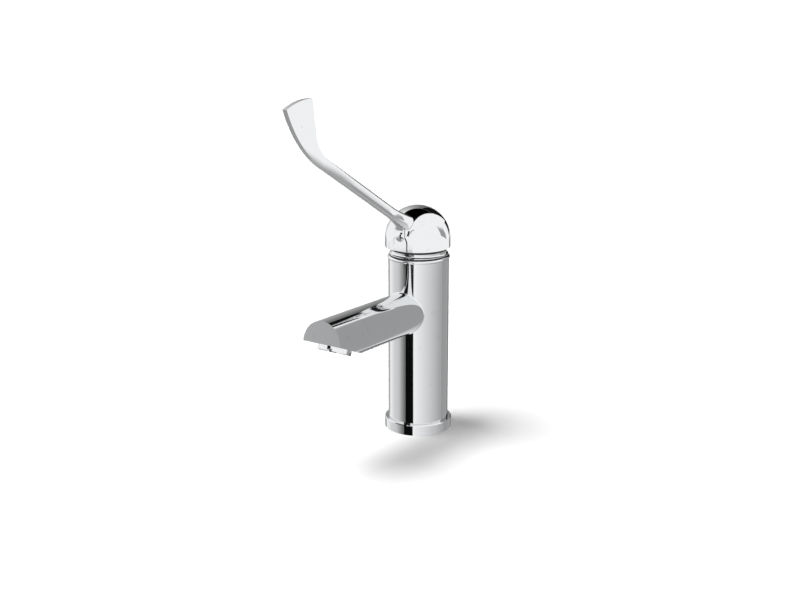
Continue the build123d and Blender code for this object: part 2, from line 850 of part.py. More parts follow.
screen_level = collar_h - housing_lip - screen_h
with BuildPart() as aerator_insert:
    with BuildSketch(outlet_plane.offset(shell_level)):
        Circle(aerator_inner_r - locating_gap)
        with PolarLocations(aerator_inner_r * 2 / 3, jet_count):
            Circle(jet_d / 2, mode=Mode.SUBTRACT)
        with PolarLocations(aerator_inner_r / 3, jet_inner_count):
            Circle(jet_d / 2, mode=Mode.SUBTRACT)
    extrude(amount=screen_level - shell_level)
aerator_insert.part.label = "aerator_insert"
export_step(aerator_insert.part, "parts/aerator_insert.step")

screen_r = aerator_inner_r - locating_gap
screen_bars = int(2 * screen_r / screen_pitch)
with BuildPart() as aerator_screen:
    with BuildSketch(outlet_plane.offset(screen_level)):
        with GridLocations(screen_pitch, 0, screen_bars, 1):
            Rectangle(screen_bar, 2 * screen_r)
        with GridLocations(0, screen_pitch, 1, screen_bars):
            Rectangle(2 * screen_r, screen_bar)
        Circle(screen_r, mode=Mode.INTERSECT)
    extrude(amount=screen_h)
    with BuildSketch(outlet_plane.offset(screen_level)):
        Circle(screen_r)
        Circle(screen_r - screen_rim, mode=Mode.SUBTRACT)
    extrude(amount=screen_h)
aerator_screen.part.label = "aerator_screen"
export_step(aerator_screen.part, "parts/aerator_screen.step")
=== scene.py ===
"""Elbow lever basin tap: its finishes, the turns of its threads, studio and camera.

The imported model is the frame. Lengths are metres in the model's own frame: the
tap stands on the floor at the origin, the spout points along -Y and Z is up.
"""

import logging
from dataclasses import dataclass
from enum import Enum
from math import cos, pi, radians, sin, tau
from typing import Iterable, Optional, Union

import bmesh
import bpy
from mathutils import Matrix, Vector


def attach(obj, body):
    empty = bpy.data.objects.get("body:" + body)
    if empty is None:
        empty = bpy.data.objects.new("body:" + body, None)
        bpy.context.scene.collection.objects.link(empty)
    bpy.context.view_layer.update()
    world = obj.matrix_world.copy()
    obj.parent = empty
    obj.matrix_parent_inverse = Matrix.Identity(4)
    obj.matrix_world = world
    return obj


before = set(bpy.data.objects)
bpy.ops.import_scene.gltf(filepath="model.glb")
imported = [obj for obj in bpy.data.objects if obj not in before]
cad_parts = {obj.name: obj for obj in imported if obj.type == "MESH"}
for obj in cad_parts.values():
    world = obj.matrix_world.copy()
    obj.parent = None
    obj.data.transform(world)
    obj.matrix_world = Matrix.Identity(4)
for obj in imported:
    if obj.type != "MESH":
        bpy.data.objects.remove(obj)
log = logging.getLogger("tap")

Colour = tuple[float, float, float]
Point = tuple[float, float, float]
Value = Union[bpy.types.NodeSocket, float, tuple[float, ...]]

VECTOR = "NodeSocketVector"
FLOAT = "NodeSocketFloat"

MM_PER_METRE = 1000.0
DEGREES_PER_RADIAN = 180 / pi
HALF_TURN = 180.0
FULL_TURN = 360.0

# Places of a colour Mix node's sockets, as its other types share their names
MIX_FIRST, MIX_SECOND, MIX_RESULT = 6, 7, 2

# Turn of the camera's side of the tap about Z, in degrees
CAMERA_YAW = 34.4

# Brightness of plain white surroundings in the chrome
WHITE = 1.03


class Shader(str, Enum):
    """Node types that the finishes and the studio are made of."""

    ADD = "ShaderNodeAddShader"
    BACKGROUND = "ShaderNodeBackground"
    BUMP = "ShaderNodeBump"
    COMBINE = "ShaderNodeCombineXYZ"
    COORDINATES = "ShaderNodeTexCoord"
    DIFFUSE = "ShaderNodeBsdfDiffuse"
    EMISSION = "ShaderNodeEmission"
    GEOMETRY = "ShaderNodeNewGeometry"
    GROUP = "ShaderNodeGroup"
    GROUP_INPUT = "NodeGroupInput"
    GROUP_OUTPUT = "NodeGroupOutput"
    LIGHT_PATH = "ShaderNodeLightPath"
    MAP_RANGE = "ShaderNodeMapRange"
    MATERIAL_OUTPUT = "ShaderNodeOutputMaterial"
    MATH = "ShaderNodeMath"
    MIX = "ShaderNodeMix"
    MIX_SHADER = "ShaderNodeMixShader"
    NOISE = "ShaderNodeTexNoise"
    PRINCIPLED = "ShaderNodeBsdfPrincipled"
    SEPARATE = "ShaderNodeSeparateXYZ"
    TRANSPARENT = "ShaderNodeBsdfTransparent"
    VECTOR_MATH = "ShaderNodeVectorMath"
    VORONOI = "ShaderNodeTexVoronoi"
    WORLD_OUTPUT = "ShaderNodeOutputWorld"


@dataclass
class Graph:
    """Short hand for building one node tree.

    Attributes:
        tree: The node tree that is filled.
    """

    tree: bpy.types.NodeTree

    def put(self, socket: bpy.types.NodeSocket, value: Value) -> None:
        """Links a socket to an input, or sets the input's own value.

        Args:
            socket: The input to fill.
            value: An output socket, a number or a tuple.
        """
        if isinstance(value, bpy.types.NodeSocket):
            self.tree.links.new(value, socket)
        else:
            socket.default_value = value

    def node(
        self, kind: Shader, inputs: Optional[dict] = None, **settings: object
    ) -> bpy.types.Node:
        """Adds a node.

        Args:
            kind: The node's type.
            inputs: Values or links for its inputs, by name or place.
            **settings: The node's own properties.

        Returns:
            The new node.
        """
        made = self.tree.nodes.new(kind.value)
        for name, setting in settings.items():
            setattr(made, name, setting)
        for name, value in (inputs or {}).items():
            self.put(made.inputs[name], value)
        return made

    def math(
        self, operation: str, first: Value, second: Value = 0.0, clamp: bool = False
    ) -> bpy.types.NodeSocket:
        """Adds a sum on one or two numbers.

        Args:
            operation: The sum, by the Math node's own name for it.
            first: Its first number.
            second: Its second number, which some sums have no use for.
            clamp: Whether the result is kept between 0 and 1.

        Returns:
            The result.
        """
        made = self.node(
            Shader.MATH, {0: first, 1: second}, operation=operation, use_clamp=clamp
        )
        return made.outputs[0]

    def ramp(
        self, value: Value, low: float, high: float, start: float = 0.0, end: float = 1.0
    ) -> bpy.types.NodeSocket:
        """Maps a number from low..high to start..end along a smooth step.

        Args:
            value: The number.
            low: Where the step starts.
            high: Where it ends.
            start: The result before the step.
            end: The result after it.

        Returns:
            The mapped number.
        """
        made = self.node(
            Shader.MAP_RANGE,
            {"Value": value, "From Min": low, "From Max": high, "To Min": start, "To Max": end},
            interpolation_type="SMOOTHSTEP",
        )
        return made.outputs["Result"]

    def mix(self, factor: Value, first: Value, second: Value) -> bpy.types.NodeSocket:
        """Mixes two colours.

        Args:
            factor: How much of the second colour there is, 0 to 1.
            first: The first colour.
            second: The second colour.

        Returns:
            The mixed colour.
        """
        made = self.node(Shader.MIX, data_type="RGBA")
        self.put(made.inputs["Factor"], factor)
        self.put(made.inputs[MIX_FIRST], rgba(first))
        self.put(made.inputs[MIX_SECOND], rgba(second))
        return made.outputs[MIX_RESULT]

    def millimetres(self) -> bpy.types.NodeSocket:
        """Gives the place in the object's own frame.

        Returns:
            The place, counted in millimetres.
        """
        place = self.node(Shader.COORDINATES).outputs["Object"]
        scaled = self.node(Shader.VECTOR_MATH, {0: place}, operation="SCALE")
        scaled.inputs["Scale"].default_value = MM_PER_METRE
        return scaled.outputs[0]

    def group(self, group: bpy.types.NodeTree, **inputs: Value) -> bpy.types.NodeSocket:
        """Places a node group and fills its inputs.

        Args:
            group: The group.
            **inputs: Its inputs.

        Returns:
            The group's only output.
        """
        made = self.node(Shader.GROUP)
        made.node_tree = group
        for name, value in inputs.items():
            self.put(made.inputs[name], value)
        return made.outputs[0]


def rgba(value: Value) -> Value:
    """Gives a colour its fourth number, and leaves a socket as it is.

    Args:
        value: A colour or a socket.

    Returns:
        The colour with an alpha of 1, or the socket.
    """
    if isinstance(value, tuple) and len(value) == 3:
        return (*value, 1.0)
    return value


def new_group(name: str, inputs: dict[str, str], outputs: dict[str, str]) -> tuple[Graph, dict]:
    """Starts a shader node group with named sockets.

    Args:
        name: The group's name.
        inputs: Socket type of each input.
        outputs: Socket type of each output.

    Returns:
        The group's graph, and its inputs' sockets by name with the output
        node under the name "out".
    """
    tree = bpy.data.node_groups.new(name, "ShaderNodeTree")
    for label, kind in inputs.items():
        tree.interface.new_socket(label, in_out="INPUT", socket_type=kind)
    for label, kind in outputs.items():
        tree.interface.new_socket(label, in_out="OUTPUT", socket_type=kind)
    graph = Graph(tree)
    source = graph.node(Shader.GROUP_INPUT)
    sockets = {label: source.outputs[label] for label in inputs}
    sockets["out"] = graph.node(Shader.GROUP_OUTPUT)
    return graph, sockets


class Effects:
    """Surface effects that several finishes share, each built once.

    Attributes:
        mottle: Slow uneven patches.
        water_marks: Dried drops.
        hairlines: Wiping and polishing lines.
        turning: Rings of the lathe.
        grain: Small pits and bumps.
    """

    # Values of the noise between which a pattern rises
    MOTTLE_RISE = (0.3, 0.7)
    HAIRLINE_RISE = (0.35, 0.75)
    # A drop's ring by distance from its middle: where it starts, crests and ends
    RING_START, RING_CREST, RING_END = 0.2, 0.27, 0.34
    # The film inside the ring: where it thins out, and how strong it is
    FILM_EDGE = (0.22, 0.28)
    FILM_LEVEL = 0.35
    # Weight of the grain's cells beside its noise
    CELL_WEIGHT = 0.4

    def __init__(self) -> None:
        """Builds every effect."""
        self.mottle = self._mottle()
        self.water_marks = self._water_marks()
        self.hairlines = self._hairlines()
        self.turning = self._turning()
        self.grain = self._grain()

    def _mottle(self) -> bpy.types.NodeTree:
        """Slow uneven patches, as plating and mouldings have.

        Returns:
            A group that puts out Value, about 0 to 1.
        """
        graph, at = new_group("mottle", {"Place": VECTOR, "Patch": FLOAT}, {"Value": FLOAT})
        scale = graph.math("DIVIDE", 1.0, at["Patch"])
        noise = graph.node(
            Shader.NOISE,
            {"Vector": at["Place"], "Scale": scale, "Detail": 3.0, "Roughness": 0.55},
        )
        patches = graph.ramp(noise.outputs["Fac"], *self.MOTTLE_RISE)
        graph.put(at["out"].inputs["Value"], patches)
        return graph.tree

    def _water_marks(self) -> bpy.types.NodeTree:
        """Dried drops: a faint ring with a thinner film inside it.

        Returns:
            A group that puts out Film, 0 to 1.
        """
        graph, at = new_group(
            "water_marks", {"Place": VECTOR, "Spacing": FLOAT, "Share": FLOAT}, {"Film": FLOAT}
        )
        scale = graph.math("DIVIDE", 1.0, at["Spacing"])
        warp = graph.node(Shader.NOISE, {"Vector": at["Place"], "Scale": 0.5, "Detail": 2.0})
        bent = graph.node(
            Shader.VECTOR_MATH, {0: warp.outputs["Color"], 1: at["Place"]}, operation="ADD"
        )
        cells = graph.node(
            Shader.VORONOI, {"Vector": bent.outputs[0], "Scale": scale, "Randomness": 1.0}
        )
        distance = cells.outputs["Distance"]
        rim_in = graph.ramp(distance, self.RING_START, self.RING_CREST)
        rim_out = graph.ramp(distance, self.RING_CREST, self.RING_END, 1.0, 0.0)
        ring = graph.math("MULTIPLY", rim_in, rim_out)
        inside = graph.ramp(distance, *self.FILM_EDGE, self.FILM_LEVEL, 0.0)
        mark = graph.math("MAXIMUM", ring, inside)
        tint = graph.node(Shader.SEPARATE, {0: cells.outputs["Color"]})
        chosen = graph.math("LESS_THAN", tint.outputs[0], at["Share"])
        uneven = graph.node(Shader.NOISE, {"Vector": at["Place"], "Scale": 0.8, "Detail": 2.0})
        drops = graph.math("MULTIPLY", mark, chosen)
        film = graph.math("MULTIPLY", drops, uneven.outputs["Fac"], clamp=True)
        graph.put(at["out"].inputs["Film"], film)
        return graph.tree

    def _hairlines(self) -> bpy.types.NodeTree:
        """Fine polishing and wiping lines that run round a turned surface.

        Returns:
            A group that puts out Lines, about 0 to 1.
        """
        graph, at = new_group("hairlines", {"Place": VECTOR, "Stretch": FLOAT}, {"Lines": FLOAT})
        x, y, z = graph.node(Shader.SEPARATE, {0: at["Place"]}).outputs
        height = graph.math("MULTIPLY", z, at["Stretch"])
        place = graph.node(Shader.COMBINE, {0: x, 1: y, 2: height})
        noise = graph.node(
            Shader.NOISE, {"Vector": place.outputs[0], "Scale": 0.35, "Detail": 5.0}
        )
        lines = graph.ramp(noise.outputs["Fac"], *self.HAIRLINE_RISE)
        graph.put(at["out"].inputs["Lines"], lines)
        return graph.tree

    @staticmethod
    def _turning() -> bpy.types.NodeTree:
        """Rings that a lathe leaves round the Z axis, and along it.

        Returns:
            A group that puts out Rings, about 0 to 1.
        """
        graph, at = new_group("turning", {"Place": VECTOR, "Pitch": FLOAT}, {"Rings": FLOAT})
        x, y, z = graph.node(Shader.SEPARATE, {0: at["Place"]}).outputs
        flat = graph.node(Shader.COMBINE, {0: x, 1: y, 2: 0.0})
        radius = graph.node(Shader.VECTOR_MATH, {0: flat.outputs[0]}, operation="LENGTH")
        along = graph.math("ADD", radius.outputs["Value"], z)
        turns = graph.math("DIVIDE", along, at["Pitch"])
        wave = graph.math("SINE", graph.math("MULTIPLY", turns, tau))
        wobble = graph.node(Shader.NOISE, {"Vector": at["Place"], "Scale": 0.6, "Detail": 2.0})
        rings = graph.math("MULTIPLY", graph.ramp(wave, -1.0, 1.0), wobble.outputs["Fac"])
        graph.put(at["out"].inputs["Rings"], rings)
        return graph.tree

    def _grain(self) -> bpy.types.NodeTree:
        """Small pits and bumps of rubber, ceramic and moulded plastic.

        Returns:
            A group that puts out Height, about 0 to 1.
        """
        graph, at = new_group("grain", {"Place": VECTOR, "Size": FLOAT}, {"Height": FLOAT})
        scale = graph.math("DIVIDE", 1.0, at["Size"])
        noise = graph.node(Shader.NOISE, {"Vector": at["Place"], "Scale": scale, "Detail": 4.0})
        cells = graph.node(Shader.VORONOI, {"Vector": at["Place"], "Scale": scale})
        weighed = graph.math("MULTIPLY", cells.outputs["Distance"], self.CELL_WEIGHT)
        graph.put(
            at["out"].inputs["Height"], graph.math("ADD", noise.outputs["Fac"], weighed)
        )
        return graph.tree


@dataclass(frozen=True)
class Chrome:
    """Polished chrome plate on brass.

    Attributes:
        name: The material's name.
        colour: Its reflectance face on.
        worn: The same under a dried film.
        roughness: Roughness where it is clean.
        film_rough: What a dried film adds to it.
        patch_rough: What an uneven patch adds.
        line_rough: What a wiping line adds.
        stretch: How strongly wiping lines follow the piece's turned form.
        patch: Size of the uneven patches, in millimetres.
        drop_spacing: Distance between places for a drop, in millimetres.
        drop_share: Share of those places that have one.
        wave: Height of the slow waves that polishing leaves, in metres.
        wave_strength: How much of them the light shows.
    """

    name: str
    colour: Colour = (0.83, 0.84, 0.85)
    worn: Colour = (0.74, 0.75, 0.76)
    roughness: float = 0.035
    film_rough: float = 0.12
    patch_rough: float = 0.015
    line_rough: float = 0.02
    stretch: float = 14.0
    patch: float = 22.0
    drop_spacing: float = 7.0
    drop_share: float = 0.16
    wave: float = 0.000004
    wave_strength: float = 0.5

    def make(self, effects: Effects) -> bpy.types.Material:
        """Builds the material.

        Args:
            effects: The shared surface effects.

        Returns:
            The material.
        """
        material, graph, shader = new_material(self.name)
        place = graph.millimetres()
        patches = graph.group(effects.mottle, Place=place, Patch=self.patch)
        film = graph.group(
            effects.water_marks, Place=place, Spacing=self.drop_spacing, Share=self.drop_share
        )
        lines = graph.group(effects.hairlines, Place=place, Stretch=self.stretch)
        graph.put(shader.inputs["Base Color"], graph.mix(film, self.colour, self.worn))
        rough: Value = self.roughness
        for wear, added in (
            (film, self.film_rough),
            (patches, self.patch_rough),
            (lines, self.line_rough),
        ):
            rough = graph.math("ADD", rough, graph.math("MULTIPLY", wear, added))
        graph.put(shader.inputs["Roughness"], rough)
        shader.inputs["Metallic"].default_value = 1.0
        put_bump(graph, shader, self.wave_strength, self.wave, patches)
        return material


@dataclass(frozen=True)
class TurnedMetal:
    """Bare brass or steel with the marks of the lathe on it.

    Attributes:
        name: The material's name.
        colour: Its reflectance face on.
        shade: The same in a darker patch.
        roughness: Roughness where it is cleanest.
        pitch: Distance between the lathe's rings, in millimetres.
        depth: Depth of the rings, in metres.
        strength: How much of them the light shows.
        patch: Size of the uneven patches, in millimetres.
        patch_rough: What a patch adds to the roughness.
    """

    name: str
    colour: Colour
    shade: Colour
    roughness: float = 0.28
    pitch: float = 0.35
    depth: float = 0.00002
    strength: float = 0.6
    patch: float = 5.0
    patch_rough: float = 0.15

    def make(self, effects: Effects) -> bpy.types.Material:
        """Builds the material.

        Args:
            effects: The shared surface effects.

        Returns:
            The material.
        """
        material, graph, shader = new_material(self.name)
        place = graph.millimetres()
        patches = graph.group(effects.mottle, Place=place, Patch=self.patch)
        rings = graph.group(effects.turning, Place=place, Pitch=self.pitch)
        graph.put(shader.inputs["Base Color"], graph.mix(patches, self.colour, self.shade))
        rough = graph.math(
            "ADD", self.roughness, graph.math("MULTIPLY", patches, self.patch_rough)
        )
        graph.put(shader.inputs["Roughness"], rough)
        shader.inputs["Metallic"].default_value = 1.0
        put_bump(graph, shader, self.strength, self.depth, rings)
        return material


@dataclass(frozen=True)
class Moulded:
    """Rubber, acetal or lapped ceramic: a grain under uneven tone.

    Attributes:
        name: The material's name.
        colour: Its colour.
        shade: Its colour in the other patches.
        roughness: Roughness in the grain's pits.
        grain: Size of the grain, in millimetres.
        depth: Depth of the grain, in metres.
        strength: How much of it the light shows.
        patch: Size of the uneven patches, in millimetres.
        grain_rough: What the grain's tops add to the roughness.
    """

    name: str
    colour: Colour
    shade: Colour
    roughness: float
    grain: float
    depth: float
    strength: float = 0.5
    patch: float = 6.0
    grain_rough: float = 0.1

    def make(self, effects: Effects) -> bpy.types.Material:
        """Builds the material.

        Args:
            effects: The shared surface effects.

        Returns:
            The material.
        """
        material, graph, shader = new_material(self.name)
        place = graph.millimetres()
        patches = graph.group(effects.mottle, Place=place, Patch=self.patch)
        height = graph.group(effects.grain, Place=place, Size=self.grain)
        graph.put(shader.inputs["Base Color"], graph.mix(patches, self.colour, self.shade))
        rough = graph.math(
            "ADD", self.roughness, graph.math("MULTIPLY", height, self.grain_rough)
        )
        graph.put(shader.inputs["Roughness"], rough)
        put_bump(graph, shader, self.strength, self.depth, height)
        return material


def new_material(name: str) -> tuple[bpy.types.Material, Graph, bpy.types.Node]:
    """Starts a material with one Principled shader.

    Args:
        name: The material's name.

    Returns:
        The material, its graph and the shader node.
    """
    material, graph, output = empty_material(name)
    shader = graph.node(Shader.PRINCIPLED)
    graph.put(output.inputs["Surface"], shader.outputs["BSDF"])
    return material, graph, shader


def empty_material(name: str) -> tuple[bpy.types.Material, Graph, bpy.types.Node]:
    """Starts a material with nothing but its output.

    Args:
        name: The material's name.

    Returns:
        The material, its graph and its output node.
    """
    material = bpy.data.materials.new(name)
    material.use_nodes = True
    material.node_tree.nodes.clear()
    graph = Graph(material.node_tree)
    return material, graph, graph.node(Shader.MATERIAL_OUTPUT)


def put_bump(
    graph: Graph,
    shader: bpy.types.Node,
    strength: float,
    depth: float,
    height: bpy.types.NodeSocket,
) -> None:
    """Gives a shader's surface a relief.

    Args:
        graph: The material's graph.
        shader: The shader node.
        strength: How much of the relief the light shows.
        depth: The relief's depth, in metres.
        height: The relief, about 0 to 1.
    """
    bump = graph.node(Shader.BUMP, {"Strength": strength, "Distance": depth, "Height": height})
    graph.put(shader.inputs["Normal"], bump.outputs[0])


@dataclass(frozen=True)
class SubAssembly:
    """CAD nodes that belong together, and how they are dressed.

    Attributes:
        title: Words for the log.
        finishes: Finish of each node.
    """

    title: str
    finishes: dict[str, str]

    def dress(self, materials: dict[str, bpy.types.Material]) -> None:
        """Gives each node its material.

        Args:
            materials: Materials by name.
        """
        for node, finish in self.finishes.items():
            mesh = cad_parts[node].data
            mesh.materials.clear()
            mesh.materials.append(materials[finish])
            log.info("%s: %s in %s", self.title, node, finish)


@dataclass(frozen=True)
class Thread:
    """Ridge of an inside thread, wound up a bore of the casting.

    Attributes:
        name: The piece's name.
        x: Place of the bore's axis along X.
        y: Place of the bore's axis along Y.
        mouth: Height of the thread's start, just inside the bore's mouth.
        wall: Radius of the bore's wall.
        depth: How far the ridge stands in from the wall.
        pitch: Rise of one turn.
        length: Length of the thread.
        steps: Number of sections in one turn.
    """

    # Half the ridge's foot and half its crest, as shares of the pitch
    FOOT = 0.42
    CREST = 0.08
    # How far the ridge's foot reaches into the wall
    BITE = 0.00002
    # Share of its depth that the ridge still has at its upper end
    RUN_OUT = 0.02

    name: str
    x: float
    y: float
    mouth: float
    wall: float
    depth: float
    pitch: float
    length: float
    steps: int = 40

    def build(self, material: bpy.types.Material) -> bpy.types.Object:
        """Makes the ridge and seats it in the casting.

        Args:
            material: The ridge's finish.

        Returns:
            The new piece.
        """
        mesh = bmesh.new()
        turns = int(self.length / self.pitch) - 1
        foot = self.FOOT * self.pitch
        crest = self.CREST * self.pitch
        foot_r = self.wall + self.BITE
        rows = []
        for step in range(turns * self.steps + 1):
            angle = tau * step / self.steps
            height = self.mouth + foot + self.pitch * step / self.steps
            left = (turns * self.steps - step) / self.steps + self.RUN_OUT
            crest_r = self.wall - self.depth * min(1.0, step / self.steps, left)
            section = (
                (foot_r, height - foot),
                (crest_r, height - crest),
                (crest_r, height + crest),
                (foot_r, height + foot),
            )
            rows.append(
                [
                    mesh.verts.new((self.x + r * cos(angle), self.y + r * sin(angle), z))
                    for r, z in section
                ]
            )
        for lower, upper in zip(rows, rows[1:]):
            for a in range(len(lower)):
                b = (a + 1) % len(lower)
                mesh.faces.new((lower[a], lower[b], upper[b], upper[a]))
        mesh.faces.new(rows[0])
        mesh.faces.new(reversed(rows[-1]))
        bmesh.ops.recalc_face_normals(mesh, faces=mesh.faces)
        return seat(self.name, mesh, material, "body")


def seat(
    name: str, mesh: bmesh.types.BMesh, material: bpy.types.Material, body: str
) -> bpy.types.Object:
    """Turns a finished bmesh into a piece that rides on a body.

    Args:
        name: The piece's name.
        mesh: Its mesh, which is freed.
        material: Its finish.
        body: The CAD body that it rides on.

    Returns:
        The new piece.
    """
    data = bpy.data.meshes.new(name)
    mesh.to_mesh(data)
    mesh.free()
    data.materials.append(material)
    piece = bpy.data.objects.new(name, data)
    bpy.context.scene.collection.objects.link(piece)
    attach(piece, body)
    log.info("made %s", name)
    return piece


@dataclass(frozen=True)
class Card:
    """A soft-edged tone in the surroundings, placed by its directions from the tap.

    Angles are degrees: azimuths count from the camera's side of the tap,
    positive to the right of the picture, and may run on past 180.

    Attributes:
        left: Azimuth of its left edge.
        right: Azimuth of its right edge.
        low: Elevation of its lower edge.
        high: Elevation of its upper edge.
        tone: Brightness at its left edge.
        end_tone: Brightness at its right edge.
        soft: Half the width of its soft sides.
        soft_top: Half the height of its soft upper and lower edge.
    """

    left: float
    right: float
    low: float
    high: float
    tone: float
    end_tone: float
    soft: float = 1.5
    soft_top: float = 1.5

    def lay(
        self,
        graph: Graph,
        azimuth: bpy.types.NodeSocket,
        elevation: bpy.types.NodeSocket,
        tone: Value,
    ) -> bpy.types.NodeSocket:
        """Lays the card over the tone so far.

        Args:
            graph: The world's graph.
            azimuth: The direction's azimuth.
            elevation: The direction's elevation.
            tone: The tone so far.

        Returns:
            The tone with the card in it.
        """
        if self.right > HALF_TURN:
            azimuth = graph.math("WRAP", azimuth, FULL_TURN)
            azimuth.node.inputs[2].default_value = 0.0
        sides = graph.math(
            "MULTIPLY",
            graph.ramp(azimuth, self.left - self.soft, self.left + self.soft),
            graph.ramp(azimuth, self.right - self.soft, self.right + self.soft, 1.0, 0.0),
        )
        ends = graph.math(
            "MULTIPLY",
            graph.ramp(elevation, self.low - self.soft_top, self.low + self.soft_top),
            graph.ramp(elevation, self.high - self.soft_top, self.high + self.soft_top, 1.0, 0.0),
        )
        slide = graph.node(
            Shader.MAP_RANGE,
            {
                "Value": azimuth,
                "From Min": self.left,
                "From Max": self.right,
                "To Min": self.tone,
                "To Max": self.end_tone,
            },
        ).outputs["Result"]
        mask = graph.math("MULTIPLY", sides, ends)
        kept = graph.math("MULTIPLY", graph.math("SUBTRACT", 1.0, mask), tone)
        return graph.math("ADD", kept, graph.math("MULTIPLY", mask, slide))


@dataclass(frozen=True)
class Panel:
    """A glowing panel that only reflections see.

    Attributes:
        name: Its name.
        corners: Its outline, in metres.
        tone: Its brightness.
        low_tone: Its brightness below the slope.
        slope: Direction that its tone rises along.
        start: Where the tone starts to rise.
        end: Where it stops.
    """

    name: str
    corners: tuple[Point, ...]
    tone: float
    low_tone: float
    slope: Point
    start: float
    end: float

    def build(self) -> None:
        """Makes the panel as a part of the studio."""
        data = bpy.data.meshes.new(self.name)
        data.from_pydata(self.corners, [], [tuple(range(len(self.corners)))])
        material, graph, output = empty_material(self.name)
        place = graph.node(Shader.COORDINATES).outputs["Object"]
        height = graph.node(
            Shader.VECTOR_MATH, {0: place, 1: self.slope}, operation="DOT_PRODUCT"
        ).outputs["Value"]
        strength = graph.ramp(height, self.start, self.end, self.low_tone, self.tone)
        glow = graph.node(Shader.EMISSION, {"Strength": strength})
        graph.put(output.inputs["Surface"], glow.outputs[0])
        hang(self.name, data, material)


@dataclass(frozen=True)
class Strip:
    """A white strip, part of a ring around the tap, that only reflections see.

    Only its inner side glows. The far strips stand so low that only pieces above
    the body's rim find them, the near ones so close to the cap that only the cap
    does.

    Attributes:
        name: Its name.
        left: Azimuth of its left end, counted as a card's is.
        right: Azimuth of its right end.
        low: Height of its lower edge.
        high: Height of its upper edge.
        radius: The ring's radius.
        tone: Its brightness.
        steps: Its number of faces.
    """

    name: str
    left: float
    right: float
    low: float
    high: float
    radius: float
    tone: float = WHITE
    steps: int = 48

    def build(self) -> None:
        """Makes the strip as a part of the studio."""
        data = bpy.data.meshes.new(self.name)
        # azimuth 0 of the studio, counted from the X axis
        front = CAMERA_YAW - 90.0
        points = []
        for step in range(self.steps + 1):
            turn = radians(self.left + (self.right - self.left) * step / self.steps + front)
            for height in (self.low, self.high):
                points.append((self.radius * cos(turn), self.radius * sin(turn), height))
        faces = [(2 * k, 2 * k + 1, 2 * k + 3, 2 * k + 2) for k in range(self.steps)]
        data.from_pydata(points, [], faces)
        material, graph, output = empty_material(self.name)
        glow = graph.node(Shader.EMISSION, {"Strength": self.tone})
        clear = graph.node(Shader.TRANSPARENT)
        outside = graph.node(Shader.GEOMETRY).outputs["Backfacing"]
        face = graph.node(
            Shader.MIX_SHADER, {0: outside, 1: glow.outputs[0], 2: clear.outputs[0]}
        )
        graph.put(output.inputs["Surface"], face.outputs[0])
        hang(self.name, data, material)


def hang(name: str, data: bpy.types.Mesh, material: bpy.types.Material) -> None:
    """Puts a glowing mesh into the studio, seen only by reflections.

    Args:
        name: The object's name.
        data: Its mesh.
        material: Its material.
    """
    data.materials.append(material)
    card = bpy.data.objects.new(name, data)
    bpy.context.scene.collection.objects.link(card)
    card.visible_camera = False
    card.visible_diffuse = False
    card.visible_shadow = False
    card.visible_transmission = False


@dataclass(frozen=True)
class Roof:
    """Dark roof behind and left of the tap, over plain white surroundings.

    Attributes:
        edge: Azimuth that its edge points to, in degrees.
        tilt: How far its edge passes beside the zenith.
        soft: Half the width of its soft edge.
        low: Elevation where it starts, in degrees.
        full: Elevation where it is fully dark.
    """

    edge: float = -37.6
    tilt: float = 0.054
    soft: float = 0.02
    low: float = 38.0
    full: float = 46.0

    def tone(
        self, graph: Graph, across: Value, toward: Value, up: Value, elevation: Value
    ) -> bpy.types.NodeSocket:
        """Gives the tone of the white and the roof.

        Args:
            graph: The world's graph.
            across: The direction's part to the right of the picture.
            toward: Its part to the camera.
            up: Its part upward.
            elevation: Its elevation.

        Returns:
            The tone.
        """
        edge = radians(self.edge)
        side = graph.math(
            "SUBTRACT",
            graph.math("MULTIPLY", across, cos(edge)),
            graph.math("MULTIPLY", toward, sin(edge)),
        )
        side = graph.math("SUBTRACT", side, graph.math("MULTIPLY", up, self.tilt))
        mask = graph.math(
            "MULTIPLY",
            graph.ramp(side, -self.soft, self.soft, 1.0, 0.0),
            graph.ramp(elevation, self.low, self.full),
        )
        return graph.math("MULTIPLY", graph.math("SUBTRACT", 1.0, mask), WHITE)


@dataclass(frozen=True)
class Floor:
    """Pale floor, bright enough to the camera to meet the background.

    Attributes:
        half: Half its width.
        dark: Its colour in the darker specks.
        light: Its colour in the lighter specks.
        glow: What it adds for the camera alone.
    """

    half: float = 20.0
    dark: Colour = (0.87, 0.87, 0.87)
    light: Colour = (0.89, 0.89, 0.89)
    glow: float = 0.1

    def build(self) -> None:
        """Makes the floor as a part of the studio."""
        half = self.half
        data = bpy.data.meshes.new("floor")
        data.from_pydata(
            [(-half, -half, 0), (half, -half, 0), (half, half, 0), (-half, half, 0)],
            [],
            [(0, 1, 2, 3)],
        )
        floor = bpy.data.objects.new("floor", data)
        bpy.context.scene.collection.objects.link(floor)
        floor.visible_glossy = False
        material, graph, output = empty_material("floor")
        place = graph.millimetres()
        speck = graph.node(Shader.NOISE, {"Vector": place, "Scale": 0.02, "Detail": 2.0})
        tone = graph.mix(speck.outputs["Fac"], self.dark, self.light)
        diffuse = graph.node(Shader.DIFFUSE, {"Color": tone})
        path = graph.node(Shader.LIGHT_PATH)
        strength = graph.math("MULTIPLY", path.outputs["Is Camera Ray"], self.glow)
        glow = graph.node(Shader.EMISSION, {"Strength": strength})
        both = graph.node(Shader.ADD, {0: diffuse.outputs[0], 1: glow.outputs[0]})
        graph.put(output.inputs["Surface"], both.outputs[0])
        data.materials.append(material)


